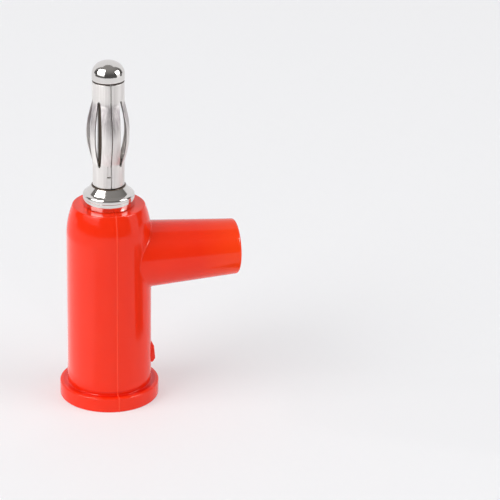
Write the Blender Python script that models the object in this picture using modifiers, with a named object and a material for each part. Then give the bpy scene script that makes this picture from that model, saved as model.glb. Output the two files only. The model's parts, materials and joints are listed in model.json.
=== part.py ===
# Stackable 4 mm banana plug with a side arm for the cable, standing on its flange.
# Metres, +Z along the pin, +X along the cable arm. The origin is the middle of the whole part's
# footprint at floor level, so the plug's own axis stands a little to the -X side of it.

import math

import bmesh
import bpy
from mathutils import Matrix

MM = 0.001

# Housing: one moulded piece
FLANGE_RADIUS = 6.16 * MM
FLANGE_HEIGHT = 1.91 * MM
FLANGE_ROUND = 0.18 * MM
BODY_RADIUS = 5.22 * MM
ROOT_FILLET = 0.12 * MM
HOUSING_HEIGHT = 25.46 * MM
SHOULDER_RADIUS = 10.2 * MM
SHOULDER_TURN_DEG = 22.0
CORNER_ROUND = 0.18 * MM
TOP_WALL = 4.0 * MM
MOUTH_RADIUS = 3.35 * MM
MOUTH_CHAMFER = 0.15 * MM

# Cable arm of the housing
ARM_HEIGHT = 18.45 * MM
ARM_REACH = 16.07 * MM
ARM_ROOT_RADIUS = 4.45 * MM
ARM_TIP_RADIUS = 3.46 * MM
ARM_END_ROUND = 0.35 * MM
ARM_BORE_RADIUS = 2.5 * MM

# Wedge-shaped lug on the arm's side of the body, just above the flange
LUG_HEIGHT = 3.0 * MM
LUG_WIDTH = 2.0 * MM
LUG_PROUD = 0.45 * MM
LUG_ABOVE_FLANGE = 2.1 * MM
LUG_FOOT_TAPER = 0.45 * MM
LUG_FOOT_PROUD = 0.16 * MM
LUG_TIP_TAPER = 0.85 * MM
LUG_TIP_PROUD = 0.3 * MM
LUG_TIP_SUNK = 0.12 * MM
LUG_ROOT_DEPTH = 0.5 * MM

# Contact: one turned piece, from the socket tube at the foot to the head of the pin
TUBE_RECESS = 2.2 * MM
TUBE_RADIUS = 2.45 * MM
TUBE_CHAMFER = 0.08 * MM
SOCKET_RADIUS = 2.05 * MM
SOCKET_DEPTH = 14.1 * MM
BARB_RADIUS = 2.6 * MM
BARB_COUNT = 3
BARB_PITCH = 0.9 * MM
BARB_LENGTH = 0.45 * MM
BARB_BELOW_TOP = 0.6 * MM
COLLAR_RADIUS = 3.15 * MM
COLLAR_HEIGHT = 1.61 * MM
CONE_HEIGHT = 0.95 * MM
CONE_TOP_RADIUS = 2.1 * MM
CONE_LAND = 0.12 * MM
ROD_RADIUS = 1.25 * MM
LAND_OVERLAP = 0.15 * MM
LAND_TAPER = 0.5 * MM
HEAD_RADIUS = 2.0 * MM
HEAD_BAND = 0.72 * MM
DOME_HEIGHT = 1.69 * MM
DOME_POWER = 2.18
EDGE_BREAK = 0.06 * MM

# Cross hole for the bare wire, and the grub screw that clamps the wire from below
WIRE_HOLE_RADIUS = 1.0 * MM
WIRE_HOLE_ABOVE_ARM = 1.5 * MM
TAPPED_HOLE_BELOW_ROOF = 0.2 * MM
SCREW_RADIUS = 1.45 * MM
SCREW_LENGTH = 2.5 * MM
SCREW_SLOT_WIDTH = 0.45 * MM
SCREW_SLOT_DEPTH = 0.8 * MM
SCREW_CHAMFER = 0.2 * MM
SCREW_OPEN_GAP = 0.05 * MM

# Cage spring: a slotted strip rolled round the pin, its eight ribs bowed outwards
CAGE_RADIUS = 1.95 * MM
CAGE_LENGTH = 13.32 * MM
CAGE_WALL = 0.2 * MM
RIB_COUNT = 8
SLOT_WIDTH = 0.45 * MM
SLOT_LENGTH = 8.0 * MM
SLOT_ABOVE_FOOT = 2.845 * MM
SEAM_GAP = 0.1 * MM
SEAM_ANGLE = math.radians(-91.0)
BOW_HEIGHT = 0.74 * MM
BOW_POWER = 1.28
BOW_LEAN = 0.11

# Clearances between pieces
SEAT_GAP = 0.05 * MM
NECK_CLEARANCE = 0.05 * MM
CAGE_CLEARANCE = 0.06 * MM
CAGE_END_PLAY = 0.06 * MM
THREAD_CLEARANCE = 0.05 * MM

# Fineness of the round shapes
HOUSING_STEPS = 72
ARM_STEPS = 48
CONTACT_STEPS = 48
BORE_STEPS = 32
CORNER_POINTS = 3
SHOULDER_POINTS = 6
DOME_POINTS = 10
RIB_COLUMNS = 4
SLOT_COLUMNS = 4
RIB_ROWS = 22
BAND_ROWS = 2
MERGE = 1e-6
SHARP_ANGLE = math.radians(35)

# Places worked out from the sizes above
AXIS_X = (FLANGE_RADIUS - ARM_REACH) / 2
SHOULDER_TURN = math.radians(SHOULDER_TURN_DEG)
CORNER_R = BODY_RADIUS - SHOULDER_RADIUS + (SHOULDER_RADIUS - CORNER_ROUND) * math.cos(SHOULDER_TURN)
CORNER_Z = HOUSING_HEIGHT - CORNER_ROUND
SHOULDER_Z = CORNER_Z - (SHOULDER_RADIUS - CORNER_ROUND) * math.sin(SHOULDER_TURN)
CAVITY_TOP = HOUSING_HEIGHT - TOP_WALL
NECK_BORE_RADIUS = BARB_RADIUS + NECK_CLEARANCE
COLLAR_FOOT = HOUSING_HEIGHT + SEAT_GAP
COLLAR_TOP = COLLAR_FOOT + COLLAR_HEIGHT
CONE_TOP = COLLAR_TOP + CONE_HEIGHT
CAGE_FOOT = CONE_TOP + CAGE_END_PLAY
CAGE_TOP = CAGE_FOOT + CAGE_LENGTH
SLOT_FOOT = CAGE_FOOT + SLOT_ABOVE_FOOT
SLOT_TOP = SLOT_FOOT + SLOT_LENGTH
LAND_RADIUS = CAGE_RADIUS - CAGE_WALL - CAGE_CLEARANCE
RIB_PITCH = (math.tau * CAGE_RADIUS - SEAM_GAP + SLOT_WIDTH) / RIB_COUNT
RIB_WIDTH = RIB_PITCH - SLOT_WIDTH
HEAD_FOOT = CAGE_TOP + CAGE_END_PLAY
DOME_FOOT = HEAD_FOOT + HEAD_BAND
WIRE_HOLE_Z = ARM_HEIGHT + WIRE_HOLE_ABOVE_ARM
SOCKET_FLOOR = TUBE_RECESS + SOCKET_DEPTH
TAPPED_RADIUS = SCREW_RADIUS + THREAD_CLEARANCE
TAPPED_TOP = WIRE_HOLE_Z + WIRE_HOLE_RADIUS - TAPPED_HOLE_BELOW_ROOF
SCREW_TOP = WIRE_HOLE_Z - WIRE_HOLE_RADIUS - SCREW_OPEN_GAP


def clear_scene():
    for old in list(bpy.data.objects):
        bpy.data.objects.remove(old, do_unlink=True)


def new_collection(name):
    collection = bpy.data.collections.new(name)
    bpy.context.scene.collection.children.link(collection)
    return collection


def make_material(name, colour, roughness, metallic):
    material = bpy.data.materials.new(name)
    material.use_nodes = True
    shader = material.node_tree.nodes["Principled BSDF"]
    shader.inputs["Base Color"].default_value = (*colour, 1.0)
    shader.inputs["Roughness"].default_value = roughness
    shader.inputs["Metallic"].default_value = metallic
    return material


def add_object(name, bm, collection, parent, material=None):
    mesh = bpy.data.meshes.new(name)
    bm.to_mesh(mesh)
    bm.free()
    mesh.shade_smooth()
    mesh.set_sharp_from_angle(angle=SHARP_ANGLE)
    piece = bpy.data.objects.new(name, mesh)
    collection.objects.link(piece)
    piece.parent = parent
    if material:
        mesh.materials.append(material)
    return piece


def add_cutter(name, bm, collection, parent):
    cutter = add_object(name, bm, collection, parent)
    cutter.hide_render = True
    cutter.display_type = "WIRE"
    return cutter


def profile_mesh(points, closed):
    # A chain of edges in the XZ plane, radius along X
    bm = bmesh.new()
    verts = [bm.verts.new((radius, 0.0, height)) for radius, height in points]
    for first, second in zip(verts, verts[1:]):
        bm.edges.new((first, second))
    if closed:
        bm.edges.new((verts[-1], verts[0]))
    return bm


def add_turning(piece, steps):
    screw = piece.modifiers.new("turned", "SCREW")
    screw.angle = math.tau
    screw.steps = steps
    screw.render_steps = steps
    screw.use_merge_vertices = True
    screw.merge_threshold = MERGE
    screw.use_smooth_shade = True
    return screw


def add_boolean(piece, cutter, operation):
    modifier = piece.modifiers.new(cutter.name, "BOOLEAN")
    modifier.object = cutter
    modifier.operation = operation
    modifier.solver = "EXACT"


def arc(centre_r, centre_z, radius, start_deg, end_deg, count):
    # Points on a round edge of a turned profile, 0 degrees outwards and 90 upwards
    points = []
    for i in range(count + 1):
        angle = math.radians(start_deg + (end_deg - start_deg) * i / count)
        points.append((centre_r + radius * math.cos(angle), centre_z + radius * math.sin(angle)))
    return points


def crown(inner_r, outer_r, foot, height, power, count):
    # Superellipse from its top at inner_r down to its foot at outer_r
    points = []
    for i in range(count + 1):
        angle = math.pi / 2 * (1 - i / count)
        across = math.cos(angle) ** (2 / power)
        up = math.sin(angle) ** (2 / power)
        points.append((inner_r + (outer_r - inner_r) * across, foot + height * up))
    return points


def cylinder_mesh(radius, start, length, along_x, height, steps):
    bm = bmesh.new()
    bmesh.ops.create_cone(bm, cap_ends=True, segments=steps, radius1=radius, radius2=radius, depth=length)
    bmesh.ops.translate(bm, verts=bm.verts, vec=(0.0, 0.0, start + length / 2))
    if along_x:
        bmesh.ops.rotate(bm, verts=bm.verts, matrix=Matrix.Rotation(math.pi / 2, 3, "Y"))
    bmesh.ops.translate(bm, verts=bm.verts, vec=(0.0, 0.0, height))
    return bm


def housing_profile():
    # The shoulder bulges from the straight side up to the small round at the edge of the flat top
    flange_side = FLANGE_RADIUS - FLANGE_ROUND
    shoulder_r = BODY_RADIUS - SHOULDER_RADIUS
    points = [(0.0, HOUSING_HEIGHT)]
    points += arc(CORNER_R, CORNER_Z, CORNER_ROUND, 90, SHOULDER_TURN_DEG, CORNER_POINTS)
    points += arc(shoulder_r, SHOULDER_Z, SHOULDER_RADIUS, SHOULDER_TURN_DEG, 0, SHOULDER_POINTS)[1:]
    points += arc(BODY_RADIUS + ROOT_FILLET, FLANGE_HEIGHT + ROOT_FILLET, ROOT_FILLET, 180, 270, 2)
    points += arc(flange_side, FLANGE_HEIGHT - FLANGE_ROUND, FLANGE_ROUND, 90, 0, 3)
    points += arc(flange_side, FLANGE_ROUND, FLANGE_ROUND, 0, -90, 3)
    points.append((0.0, 0.0))
    return points


def cavity_profile():
    # The hollow that the axial core pin of the mould leaves, cut past both ends of the housing
    beyond = MOUTH_RADIUS
    return [
        (0.0, HOUSING_HEIGHT + beyond),
        (NECK_BORE_RADIUS, HOUSING_HEIGHT + beyond),
        (NECK_BORE_RADIUS, CAVITY_TOP),
        (MOUTH_RADIUS, CAVITY_TOP),
        (MOUTH_RADIUS, MOUTH_CHAMFER),
        (MOUTH_RADIUS + MOUTH_CHAMFER + beyond, -beyond),
        (0.0, -beyond),
    ]


def arm_mesh():
    # Tapered arm, turned about its own axis and then laid along +X
    rounding = arc(ARM_TIP_RADIUS - ARM_END_ROUND, ARM_REACH - ARM_END_ROUND, ARM_END_ROUND, 90, 4, 4)
    bm = profile_mesh([(0.0, ARM_REACH)] + rounding + [(ARM_ROOT_RADIUS, 0.0), (0.0, 0.0)], False)
    bmesh.ops.spin(
        bm,
        geom=bm.verts[:] + bm.edges[:],
        axis=(0.0, 0.0, 1.0),
        cent=(0.0, 0.0, 0.0),
        angle=math.tau,
        steps=ARM_STEPS,
        use_merge=True,
    )
    bmesh.ops.remove_doubles(bm, verts=bm.verts, dist=MERGE)
    bmesh.ops.recalc_face_normals(bm, faces=bm.faces)
    bmesh.ops.rotate(bm, verts=bm.verts, matrix=Matrix.Rotation(math.pi / 2, 3, "Y"))
    bmesh.ops.translate(bm, verts=bm.verts, vec=(0.0, 0.0, ARM_HEIGHT))
    return bm


def lug_mesh():
    # A wedge with a blunt foot and a pointed tip, drawn from the side and given its width
    foot = FLANGE_HEIGHT + LUG_ABOVE_FLANGE
    top = foot + LUG_HEIGHT
    root = BODY_RADIUS - LUG_ROOT_DEPTH
    side = [
        (root, foot),
        (BODY_RADIUS + LUG_FOOT_PROUD, foot),
        (BODY_RADIUS + LUG_PROUD, foot + LUG_FOOT_TAPER),
        (BODY_RADIUS + LUG_TIP_PROUD, top - LUG_TIP_TAPER),
        (BODY_RADIUS - LUG_TIP_SUNK, top),
        (root, top),
    ]
    bm = bmesh.new()
    verts = [bm.verts.new((x, -LUG_WIDTH / 2, z)) for x, z in side]
    face = bm.faces.new(verts)
    grown = bmesh.ops.extrude_face_region(bm, geom=[face])
    moved = [item for item in grown["geom"] if isinstance(item, bmesh.types.BMVert)]
    bmesh.ops.translate(bm, verts=moved, vec=(0.0, LUG_WIDTH, 0.0))
    bmesh.ops.recalc_face_normals(bm, faces=bm.faces)
    return bm


def make_housing(parts, cutters, parent, material):
    housing = add_object("housing", profile_mesh(housing_profile(), False), parts, parent, material)
    add_turning(housing, HOUSING_STEPS)
    arm = add_cutter("arm_form", arm_mesh(), cutters, parent)
    lug = add_cutter("lug_form", lug_mesh(), cutters, parent)
    cavity = add_cutter("cavity_form", profile_mesh(cavity_profile(), False), cutters, parent)
    add_turning(cavity, HOUSING_STEPS)
    bore_length = ARM_REACH + ARM_BORE_RADIUS
    bore = cylinder_mesh(ARM_BORE_RADIUS, 0.0, bore_length, True, ARM_HEIGHT, BORE_STEPS)
    arm_bore = add_cutter("arm_bore_form", bore, cutters, parent)
    add_boolean(housing, arm, "UNION")
    add_boolean(housing, lug, "UNION")
    add_boolean(housing, cavity, "DIFFERENCE")
    add_boolean(housing, arm_bore, "DIFFERENCE")
    return housing


def head_profile():
    points = crown(0.0, HEAD_RADIUS, DOME_FOOT, DOME_HEIGHT, DOME_POWER, DOME_POINTS)
    points += arc(HEAD_RADIUS - EDGE_BREAK, HEAD_FOOT + EDGE_BREAK, EDGE_BREAK, 0, -90, 1)
    return points


def pin_profile():
    # The cage's two lands, and the slim rod between them that leaves room for the ribs to flex
    return [
        (LAND_RADIUS, HEAD_FOOT),
        (LAND_RADIUS, SLOT_TOP + LAND_OVERLAP),
        (ROD_RADIUS, SLOT_TOP + LAND_OVERLAP - LAND_TAPER),
        (ROD_RADIUS, SLOT_FOOT - LAND_OVERLAP + LAND_TAPER),
        (LAND_RADIUS, SLOT_FOOT - LAND_OVERLAP),
        (LAND_RADIUS, CONE_TOP),
    ]


def collar_profile():
    points = [
        (CONE_TOP_RADIUS, CONE_TOP),
        (CONE_TOP_RADIUS, CONE_TOP - CONE_LAND),
    ]
    points += arc(COLLAR_RADIUS - EDGE_BREAK, COLLAR_TOP - EDGE_BREAK, EDGE_BREAK, 50, 0, 1)
    points += arc(COLLAR_RADIUS - EDGE_BREAK, COLLAR_FOOT + EDGE_BREAK, EDGE_BREAK, 0, -90, 1)
    return points


def neck_profile():
    # Saw-tooth rings that grip the housing's top wall
    points = [(TUBE_RADIUS, COLLAR_FOOT)]
    for i in range(BARB_COUNT):
        top = COLLAR_FOOT - BARB_BELOW_TOP - i * BARB_PITCH
        points.append((TUBE_RADIUS, top))
        points.append((BARB_RADIUS, top))
        points.append((TUBE_RADIUS, top - BARB_LENGTH))
    return points


def socket_profile():
    rim = TUBE_RECESS + TUBE_CHAMFER
    return [
        (TUBE_RADIUS, rim),
        (TUBE_RADIUS - TUBE_CHAMFER, TUBE_RECESS),
        (SOCKET_RADIUS + TUBE_CHAMFER, TUBE_RECESS),
        (SOCKET_RADIUS, rim),
        (SOCKET_RADIUS, SOCKET_FLOOR),
        (TAPPED_RADIUS, SOCKET_FLOOR),
        (TAPPED_RADIUS, TAPPED_TOP),
        (0.0, TAPPED_TOP),
    ]


def make_contact(parts, cutters, parent, material):
    points = head_profile() + pin_profile() + collar_profile() + neck_profile() + socket_profile()
    contact = add_object("contact_core", profile_mesh(points, False), parts, parent, material)
    add_turning(contact, CONTACT_STEPS)
    reach = 2 * TUBE_RADIUS
    hole = cylinder_mesh(WIRE_HOLE_RADIUS, -reach, 2 * reach, True, WIRE_HOLE_Z, BORE_STEPS // 2)
    wire_hole = add_cutter("wire_hole_form", hole, cutters, parent)
    add_boolean(contact, wire_hole, "DIFFERENCE")
    return contact


def make_screw(parts, cutters, parent, material):
    # Headless slotted screw, its slot facing the socket so that a driver reaches it from the foot
    foot = SCREW_TOP - SCREW_LENGTH
    points = [
        (0.0, SCREW_TOP),
        (SCREW_RADIUS - SCREW_CHAMFER, SCREW_TOP),
        (SCREW_RADIUS, SCREW_TOP - SCREW_CHAMFER),
        (SCREW_RADIUS, foot + SCREW_CHAMFER),
        (SCREW_RADIUS - SCREW_CHAMFER, foot),
        (0.0, foot),
    ]
    screw = add_object("clamp_screw", profile_mesh(points, False), parts, parent, material)
    add_turning(screw, BORE_STEPS)
    cutter_length = 4 * SCREW_RADIUS
    bm = bmesh.new()
    bmesh.ops.create_cube(bm, size=1.0)
    bmesh.ops.scale(bm, verts=bm.verts, vec=(cutter_length, SCREW_SLOT_WIDTH, 2 * SCREW_SLOT_DEPTH))
    bmesh.ops.translate(bm, verts=bm.verts, vec=(0.0, 0.0, foot))
    slot = add_cutter("screw_slot_form", bm, cutters, parent)
    add_boolean(screw, slot, "DIFFERENCE")
    return screw


def blank_columns():
    # Positions across the flat blank, with the rib that each column belongs to, or None in a slot
    columns = [(0.0, 0)]
    for rib in range(RIB_COUNT):
        start = rib * RIB_PITCH
        for i in range(1, RIB_COLUMNS + 1):
            columns.append((start + RIB_WIDTH * i / RIB_COLUMNS, rib))
        if rib < RIB_COUNT - 1:
            for i in range(1, SLOT_COLUMNS):
                columns.append((start + RIB_WIDTH + SLOT_WIDTH * i / SLOT_COLUMNS, None))
            columns.append((start + RIB_PITCH, rib + 1))
    return columns


def blank_rows():
    rows = [CAGE_FOOT + (SLOT_ABOVE_FOOT - SLOT_WIDTH) * i / BAND_ROWS for i in range(BAND_ROWS + 1)]
    rows += [SLOT_FOOT + SLOT_LENGTH * i / RIB_ROWS for i in range(RIB_ROWS + 1)]
    top_band = CAGE_TOP - SLOT_TOP - SLOT_WIDTH
    rows += [CAGE_TOP - top_band * (BAND_ROWS - i) / BAND_ROWS for i in range(BAND_ROWS + 1)]
    return rows


def bow(height):
    # How far a rib stands out, nothing at the slot's ends and most a little below its middle
    along = 2 * (height - SLOT_FOOT) / SLOT_LENGTH - 1
    return BOW_HEIGHT * (1 - BOW_LEAN * along) * max(0.0, 1 - along * along) ** BOW_POWER


def rolled_angle(across):
    # Where a place across the blank comes to lie when the blank is rolled up
    return SEAM_ANGLE + (across + SEAM_GAP / 2) / CAGE_RADIUS


def faces_outwards(bm):
    total = 0.0
    for face in bm.faces:
        centre = face.calc_center_median()
        total += face.normal.x * centre.x + face.normal.y * centre.y
    return total > 0


def cage_mesh():
    columns = blank_columns()
    rows = blank_rows()
    first_slot_row = BAND_ROWS + 1
    last_slot_row = first_slot_row + RIB_ROWS
    bm = bmesh.new()
    bmesh.ops.create_grid(bm, x_segments=len(columns) - 1, y_segments=len(rows) - 1, size=0.5)
    places = {}
    for vert in bm.verts:
        column = round((vert.co.x + 0.5) * (len(columns) - 1))
        row = round((vert.co.y + 0.5) * (len(rows) - 1))
        places[vert] = (column, row)

    def in_slot(face):
        across = {places[vert][0] for vert in face.verts}
        up = {places[vert][1] for vert in face.verts}
        beside_slot = any(columns[column][1] is None for column in across)
        return beside_slot and min(up) >= first_slot_row and max(up) <= last_slot_row

    open_faces = [face for face in bm.faces if in_slot(face)]
    for vert, (column, row) in places.items():
        across, rib = columns[column]
        height = rows[row]
        if rib is None and row in (first_slot_row, last_slot_row):
            # Round end of the slot
            next_rib = math.ceil(across / RIB_PITCH) * RIB_PITCH
            off_centre = next_rib - SLOT_WIDTH / 2 - across
            rise = math.sqrt(max(0.0, (SLOT_WIDTH / 2) ** 2 - off_centre ** 2))
            height += rise if row == last_slot_row else -rise
        turn = rolled_angle(across)
        x = CAGE_RADIUS * math.cos(turn)
        y = CAGE_RADIUS * math.sin(turn)
        if rib is not None and first_slot_row < row < last_slot_row:
            outwards = rolled_angle(rib * RIB_PITCH + RIB_WIDTH / 2)
            x += bow(height) * math.cos(outwards)
            y += bow(height) * math.sin(outwards)
        vert.co = (x, y, height)
    bmesh.ops.delete(bm, geom=open_faces, context="FACES")
    bmesh.ops.recalc_face_normals(bm, faces=bm.faces)
    if not faces_outwards(bm):
        bmesh.ops.reverse_faces(bm, faces=bm.faces)
    return bm


def make_cage(parts, parent, material):
    cage = add_object("cage_spring", cage_mesh(), parts, parent, material)
    solidify = cage.modifiers.new("wall", "SOLIDIFY")
    solidify.thickness = CAGE_WALL
    solidify.offset = -1.0
    solidify.use_even_offset = True
    return cage


def main():
    clear_scene()
    parts = new_collection("banana_plug")
    cutters = new_collection("banana_plug_cutters")
    plug_axis = bpy.data.objects.new("plug_axis", None)
    plug_axis.location = (AXIS_X, 0.0, 0.0)
    parts.objects.link(plug_axis)
    red = make_material("red_plastic", (0.85, 0.045, 0.02), 0.25, 0.0)
    nickel = make_material("nickel_plate", (0.72, 0.71, 0.69), 0.16, 1.0)
    spring = make_material("spring_nickel", (0.74, 0.73, 0.71), 0.22, 1.0)
    steel = make_material("zinc_steel", (0.62, 0.63, 0.65), 0.35, 1.0)
    make_housing(parts, cutters, plug_axis, red)
    make_contact(parts, cutters, plug_axis, nickel)
    make_cage(parts, plug_axis, spring)
    make_screw(parts, cutters, plug_axis, steel)


main()
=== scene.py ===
# Banana plug, dressed: fine meshes, finishes, stage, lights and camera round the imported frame.
import json
import math

import bmesh
import bpy
from mathutils import Matrix, Vector


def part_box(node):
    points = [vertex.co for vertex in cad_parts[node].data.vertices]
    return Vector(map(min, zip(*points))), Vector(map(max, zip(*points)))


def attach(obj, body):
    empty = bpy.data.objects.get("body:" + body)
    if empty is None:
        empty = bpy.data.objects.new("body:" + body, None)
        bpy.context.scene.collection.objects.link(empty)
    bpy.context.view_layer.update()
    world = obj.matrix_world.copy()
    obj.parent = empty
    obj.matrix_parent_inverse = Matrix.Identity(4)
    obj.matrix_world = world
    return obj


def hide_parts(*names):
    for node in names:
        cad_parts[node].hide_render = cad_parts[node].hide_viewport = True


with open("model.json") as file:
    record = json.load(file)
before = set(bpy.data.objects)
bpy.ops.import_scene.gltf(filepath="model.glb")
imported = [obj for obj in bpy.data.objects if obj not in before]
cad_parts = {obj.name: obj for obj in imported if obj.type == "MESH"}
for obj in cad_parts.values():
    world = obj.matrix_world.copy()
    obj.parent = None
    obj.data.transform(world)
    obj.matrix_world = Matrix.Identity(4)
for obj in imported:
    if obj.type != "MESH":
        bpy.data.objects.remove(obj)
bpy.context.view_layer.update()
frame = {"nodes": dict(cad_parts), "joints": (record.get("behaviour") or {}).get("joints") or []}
print("frame loaded:", sorted(frame["nodes"]))

mm = 0.001
mergeDistance = 1e-6
cutTolerance = 1e-8
touchMargin = 0.01 * mm      # how near a face's centre counts as lying on a line
sharpAngle = math.radians(32)

# places that every piece shares, read from the frame
turnJoint = next(joint for joint in frame["joints"] if joint["name"] == "cage_turn")
plugX = turnJoint["pos_m"][0]
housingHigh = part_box("housing")[1]
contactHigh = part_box("contact_core")[1]
cageLow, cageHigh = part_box("cage_spring")
screwLow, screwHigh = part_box("clamp_screw")


# helpers for meshes

def arc(centreR, centreZ, radius, startDeg, endDeg, count):
    # a round edge of a turned profile, 0 degrees outwards and 90 upwards
    points = []
    for i in range(count + 1):
        angle = math.radians(startDeg + (endDeg - startDeg) * i / count)
        points.append((centreR + radius * math.cos(angle), centreZ + radius * math.sin(angle)))
    return points


def crown(innerR, outerR, foot, height, power, count):
    # superellipse from its top at innerR down to its foot at outerR
    points = []
    for i in range(count + 1):
        angle = math.pi / 2 * (1 - i / count)
        across = math.cos(angle) ** (2 / power)
        up = math.sin(angle) ** (2 / power)
        points.append((innerR + (outerR - innerR) * across, foot + height * up))
    return points


def turned(points, steps):
    # spins an XZ profile once round Z
    bm = bmesh.new()
    verts = [bm.verts.new((radius, 0.0, height)) for radius, height in points]
    for first, second in zip(verts, verts[1:]):
        bm.edges.new((first, second))
    bmesh.ops.spin(
        bm, geom=bm.verts[:] + bm.edges[:], axis=(0, 0, 1), cent=(0, 0, 0),
        angle=math.tau, steps=steps, use_merge=True,
    )
    bmesh.ops.remove_doubles(bm, verts=bm.verts, dist=mergeDistance)
    bmesh.ops.recalc_face_normals(bm, faces=bm.faces)
    return bm


def laidAlongX(bm, height):
    bmesh.ops.rotate(bm, verts=bm.verts, matrix=Matrix.Rotation(math.pi / 2, 3, "Y"))
    bmesh.ops.translate(bm, verts=bm.verts, vec=(0, 0, height))
    return bm


def rod(radius, start, length, steps):
    bm = bmesh.new()
    bmesh.ops.create_cone(bm, cap_ends=True, segments=steps, radius1=radius, radius2=radius, depth=length)
    bmesh.ops.translate(bm, verts=bm.verts, vec=(0, 0, start + length / 2))
    return bm


def looseObject(name, bm):
    mesh = bpy.data.meshes.new(name)
    bm.to_mesh(mesh)
    bm.free()
    piece = bpy.data.objects.new(name, mesh)
    bpy.context.scene.collection.objects.link(piece)
    return piece


def applyModifiers(piece):
    bpy.context.view_layer.update()
    graph = bpy.context.evaluated_depsgraph_get()
    result = bpy.data.meshes.new_from_object(piece.evaluated_get(graph))
    piece.modifiers.clear()
    piece.data = result


def combine(piece, otherBm, operation):
    # a Boolean with the exact solver, applied at once
    other = looseObject("cutter", otherBm)
    modifier = piece.modifiers.new("combine", "BOOLEAN")
    modifier.object = other
    modifier.operation = operation
    modifier.solver = "EXACT"
    applyModifiers(piece)
    bpy.data.objects.remove(other, do_unlink=True)


def tagFaces(piece, name, shareOf):
    # stores a share for each face under the name that the materials read
    mesh = piece.data
    tag = mesh.attributes.new(name, "FLOAT", "FACE")
    for face in mesh.polygons:
        tag.data[face.index].value = shareOf(face)


def finishPiece(piece, node, body, material):
    # moves the mesh to the plug's axis, shades it and hangs it on its body
    mesh = piece.data
    mesh.transform(Matrix.Translation((plugX, 0, 0)))
    mesh.shade_smooth()
    mesh.set_sharp_from_angle(angle=sharpAngle)
    mesh.materials.clear()
    mesh.materials.append(material)
    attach(piece, body)
    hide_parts(node)
    print(piece.name, "done,", sum(len(face.vertices) - 2 for face in mesh.polygons), "triangles")


# helpers for materials

def newMaterial(name):
    material = bpy.data.materials.new(name)
    material.use_nodes = True
    nodes = material.node_tree.nodes
    return material, nodes, material.node_tree.links, nodes["Principled BSDF"]


def objectPoint(nodes, links, scale=(1, 1, 1)):
    # object coordinates through a Mapping node
    place = nodes.new("ShaderNodeTexCoord")
    mapping = nodes.new("ShaderNodeMapping")
    mapping.inputs["Scale"].default_value = scale
    links.new(place.outputs["Object"], mapping.inputs["Vector"])
    return mapping.outputs["Vector"]


def noise(nodes, links, vector, scale, detail=3.0, roughness=0.5):
    texture = nodes.new("ShaderNodeTexNoise")
    texture.inputs["Scale"].default_value = scale
    texture.inputs["Detail"].default_value = detail
    texture.inputs["Roughness"].default_value = roughness
    links.new(vector, texture.inputs["Vector"])
    return texture.outputs["Fac"]


def spread(nodes, links, value, low, high, fromLow=0.3, fromHigh=0.7):
    # maps a pattern's middle range on to a shader value
    ranged = nodes.new("ShaderNodeMapRange")
    ranged.inputs["From Min"].default_value = fromLow
    ranged.inputs["From Max"].default_value = fromHigh
    ranged.inputs["To Min"].default_value = low
    ranged.inputs["To Max"].default_value = high
    links.new(value, ranged.inputs["Value"])
    return ranged.outputs["Result"]


def placeAlong(nodes, links, axis):
    # one of the object coordinates
    place = nodes.new("ShaderNodeTexCoord")
    parts = nodes.new("ShaderNodeSeparateXYZ")
    links.new(place.outputs["Object"], parts.inputs[0])
    return parts.outputs[axis]


def product(nodes, links, first, second):
    node = nodes.new("ShaderNodeMath")
    node.operation = "MULTIPLY"
    links.new(first, node.inputs[0])
    links.new(second, node.inputs[1])
    return node.outputs[0]


def blendColour(nodes, links, factor, first, second):
    mix = nodes.new("ShaderNodeMix")
    mix.data_type = "RGBA"
    mix.inputs["A"].default_value = (*first, 1)
    mix.inputs["B"].default_value = (*second, 1)
    links.new(factor, mix.inputs["Factor"])
    return mix.outputs["Result"]


def faceTag(nodes, name):
    # the share that tagFaces stored under this name, which sets how much painted shade or painted highlight
    # a face gets
    tag = nodes.new("ShaderNodeAttribute")
    tag.attribute_name = name
    return tag.outputs["Fac"]


def tinted(nodes, links, share, colour, tint):
    # moves a varying colour towards a fixed one
    mix = nodes.new("ShaderNodeMix")
    mix.data_type = "RGBA"
    mix.inputs["B"].default_value = (*tint, 1)
    links.new(colour, mix.inputs["A"])
    links.new(share, mix.inputs["Factor"])
    return mix.outputs["Result"]


def roughened(nodes, links, share, roughness, recessRoughness):
    mix = nodes.new("ShaderNodeMix")
    mix.inputs["B"].default_value = recessRoughness
    links.new(roughness, mix.inputs["A"])
    links.new(share, mix.inputs["Factor"])
    return mix.outputs["Result"]


def addBump(nodes, links, shader, height, distance, strength):
    bump = nodes.new("ShaderNodeBump")
    bump.inputs["Distance"].default_value = distance
    bump.inputs["Strength"].default_value = strength
    links.new(height, bump.inputs["Height"])
    links.new(bump.outputs["Normal"], shader.inputs["Normal"])


# finishes

redLook = {
    "colour": (0.84, 0.023, 0.003),
    "paleColour": (0.85, 0.030, 0.005),
    "creaseColour": (0.66, 0.004, 0.001),    # painted shade: deeper red where the flange meets the body
    "ridgeColour": (0.90, 0.052, 0.018),     # painted highlight along the mould line
    "tipColour": (0.95, 0.052, 0.005),       # painted glow standing in for light that shines through the wall at the arm's open end
    "tipReach": (10.5 * mm, 16.0 * mm),      # where that starts and is full, from the plug's axis
    "roughness": (0.09, 0.14),
    "specular": 0.3,
    "patchScale": 260.0,     # broad, faint differences in gloss
    "grainScale": 5200.0,    # the mould's fine grain
    "grainDepth": 0.004 * mm,
    "grainStrength": 0.6,
    "subsurface": 0.06,
    "subsurfaceRadius": (1.0, 0.25, 0.1),
    "subsurfaceScale": 0.6 * mm,
}


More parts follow.
